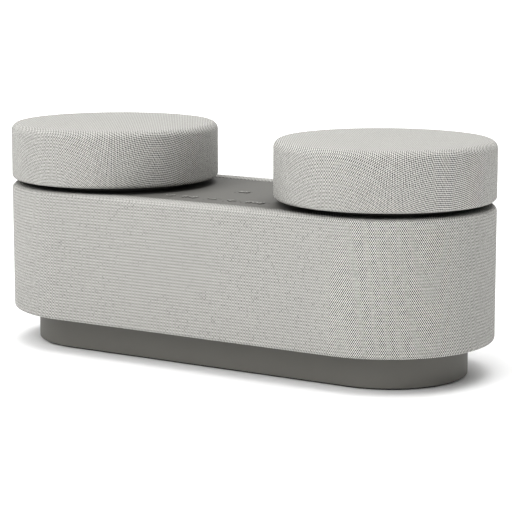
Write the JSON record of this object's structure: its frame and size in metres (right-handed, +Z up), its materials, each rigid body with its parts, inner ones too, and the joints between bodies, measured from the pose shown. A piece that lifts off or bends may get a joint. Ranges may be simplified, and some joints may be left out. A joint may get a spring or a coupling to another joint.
{
  "type": "smart speaker",
  "caption": "Long fabric-covered smart speaker with round ends on an inset plinth, a flat control panel on top and two round satellite speakers that lift off.",
  "frame": {"origin": "on the floor plane under the middle of the body", "axes": "+X along the body's length, -Y towards the listener (the front), +Z up"},
  "size_m": [0.306, 0.123, 0.1305],
  "materials": {
    "knit_fabric": "light grey knit with small dark flecks, matte",
    "panel_plastic": "fine-grained warm mid grey",
    "plinth_plastic": "fine-grained warm dark grey",
    "inner_plastic": "black moulded, never seen in use",
    "black_rubber": "matte black",
    "plain_steel": "plain",
    "gold_contact": "gold plated",
    "cone_paper": "dark pressed fibre",
    "circuit_board": "green solder mask",
    "cell_film": "blue shrink film"
  },
  "bodies": {
    "speaker_body": {"rubber_foot_pad": "black_rubber", "plinth": "plinth_plastic", "plinth_screw_1": "plain_steel", "plinth_screw_2": "plain_steel", "plinth_screw_3": "plain_steel", "plinth_screw_4": "plain_steel", "battery_pack": "cell_film", "main_board": "circuit_board", "charging_socket": "plain_steel", "cabinet": "inner_plastic", "cabinet_lid": "inner_plastic", "grille_frame": "inner_plastic", "fabric_sleeve": "knit_fabric", "control_panel": "panel_plastic", "control_board": "circuit_board", "left_dock_magnet": "plain_steel", "left_dock_contacts": "gold_contact", "left_driver_basket": "inner_plastic", "left_driver_magnet": "plain_steel", "left_driver_surround": "black_rubber", "left_radiator_surround": "black_rubber", "right_dock_magnet": "plain_steel", "right_dock_contacts": "gold_contact", "right_driver_basket": "inner_plastic", "right_driver_magnet": "plain_steel", "right_driver_surround": "black_rubber", "right_radiator_surround": "black_rubber"},
    "power_key": {"power_key": "panel_plastic"},
    "pairing_key": {"pairing_key": "panel_plastic"},
    "volume_down_key": {"volume_down_key": "panel_plastic"},
    "volume_up_key": {"volume_up_key": "panel_plastic"},
    "sound_field_key": {"sound_field_key": "panel_plastic"},
    "play_key": {"play_key": "panel_plastic"},
    "left_satellite": {"left_satellite_fabric": "knit_fabric", "left_satellite_grille": "inner_plastic", "left_satellite_shell": "inner_plastic", "left_satellite_foot": "plinth_plastic", "left_satellite_contacts": "gold_contact", "left_satellite_baffle": "inner_plastic", "left_satellite_magnet": "plain_steel", "left_satellite_surround": "black_rubber", "left_satellite_battery": "cell_film", "left_satellite_board": "circuit_board"},
    "left_satellite_cone": {"left_satellite_cone": "cone_paper"},
    "left_driver_cone": {"left_driver_cone": "cone_paper"},
    "left_radiator_plate": {"left_radiator_plate": "cone_paper"},
    "right_satellite": {"right_satellite_fabric": "knit_fabric", "right_satellite_grille": "inner_plastic", "right_satellite_shell": "inner_plastic", "right_satellite_foot": "plinth_plastic", "right_satellite_contacts": "gold_contact", "right_satellite_baffle": "inner_plastic", "right_satellite_magnet": "plain_steel", "right_satellite_surround": "black_rubber", "right_satellite_battery": "cell_film", "right_satellite_board": "circuit_board"},
    "right_satellite_cone": {"right_satellite_cone": "cone_paper"},
    "right_driver_cone": {"right_driver_cone": "cone_paper"},
    "right_radiator_plate": {"right_radiator_plate": "cone_paper"}
  },
  "joints": [
    {"name": "left_satellite_lift", "type": "slide", "parent": "speaker_body", "child": "left_satellite", "axis": [0, 0, 1], "range_m": [0, 0.06]},
    {"name": "right_satellite_lift", "type": "slide", "parent": "speaker_body", "child": "right_satellite", "axis": [0, 0, 1], "range_m": [0, 0.06]},
    {"name": "power_press", "type": "slide", "parent": "speaker_body", "child": "power_key", "axis": [0, 0, -1], "range_m": [0, 0.0004], "stiffness_N_per_m": 1000},
    {"name": "pairing_press", "type": "slide", "parent": "speaker_body", "child": "pairing_key", "axis": [0, 0, -1], "range_m": [0, 0.0004], "stiffness_N_per_m": 1000},
    {"name": "volume_down_press", "type": "slide", "parent": "speaker_body", "child": "volume_down_key", "axis": [0, 0, -1], "range_m": [0, 0.0004], "stiffness_N_per_m": 1000},
    {"name": "volume_up_press", "type": "slide", "parent": "speaker_body", "child": "volume_up_key", "axis": [0, 0, -1], "range_m": [0, 0.0004], "stiffness_N_per_m": 1000},
    {"name": "sound_field_press", "type": "slide", "parent": "speaker_body", "child": "sound_field_key", "axis": [0, 0, -1], "range_m": [0, 0.0004], "stiffness_N_per_m": 1000},
    {"name": "play_press", "type": "slide", "parent": "speaker_body", "child": "play_key", "axis": [0, 0, -1], "range_m": [0, 0.0004], "stiffness_N_per_m": 1000},
    {"name": "left_driver_stroke", "type": "slide", "parent": "speaker_body", "child": "left_driver_cone", "axis": [0, -1, 0], "range_m": [-0.002, 0.002], "stiffness_N_per_m": 1200, "deforming": ["left_driver_surround"]},
    {"name": "left_radiator_stroke", "type": "slide", "parent": "speaker_body", "child": "left_radiator_plate", "axis": [0, 1, 0], "range_m": [-0.002, 0.002], "stiffness_N_per_m": 1200, "deforming": ["left_radiator_surround"]},
    {"name": "left_satellite_stroke", "type": "slide", "parent": "left_satellite", "child": "left_satellite_cone", "axis": [0, 0, 1], "range_m": [-0.0015, 0.0015], "stiffness_N_per_m": 1200, "deforming": ["left_satellite_surround"]},
    {"name": "right_driver_stroke", "type": "slide", "parent": "speaker_body", "child": "right_driver_cone", "axis": [0, -1, 0], "range_m": [-0.002, 0.002], "stiffness_N_per_m": 1200, "deforming": ["right_driver_surround"]},
    {"name": "right_radiator_stroke", "type": "slide", "parent": "speaker_body", "child": "right_radiator_plate", "axis": [0, 1, 0], "range_m": [-0.002, 0.002], "stiffness_N_per_m": 1200, "deforming": ["right_radiator_surround"]},
    {"name": "right_satellite_stroke", "type": "slide", "parent": "right_satellite", "child": "right_satellite_cone", "axis": [0, 0, 1], "range_m": [-0.0015, 0.0015], "stiffness_N_per_m": 1200, "deforming": ["right_satellite_surround"]}
  ]
}
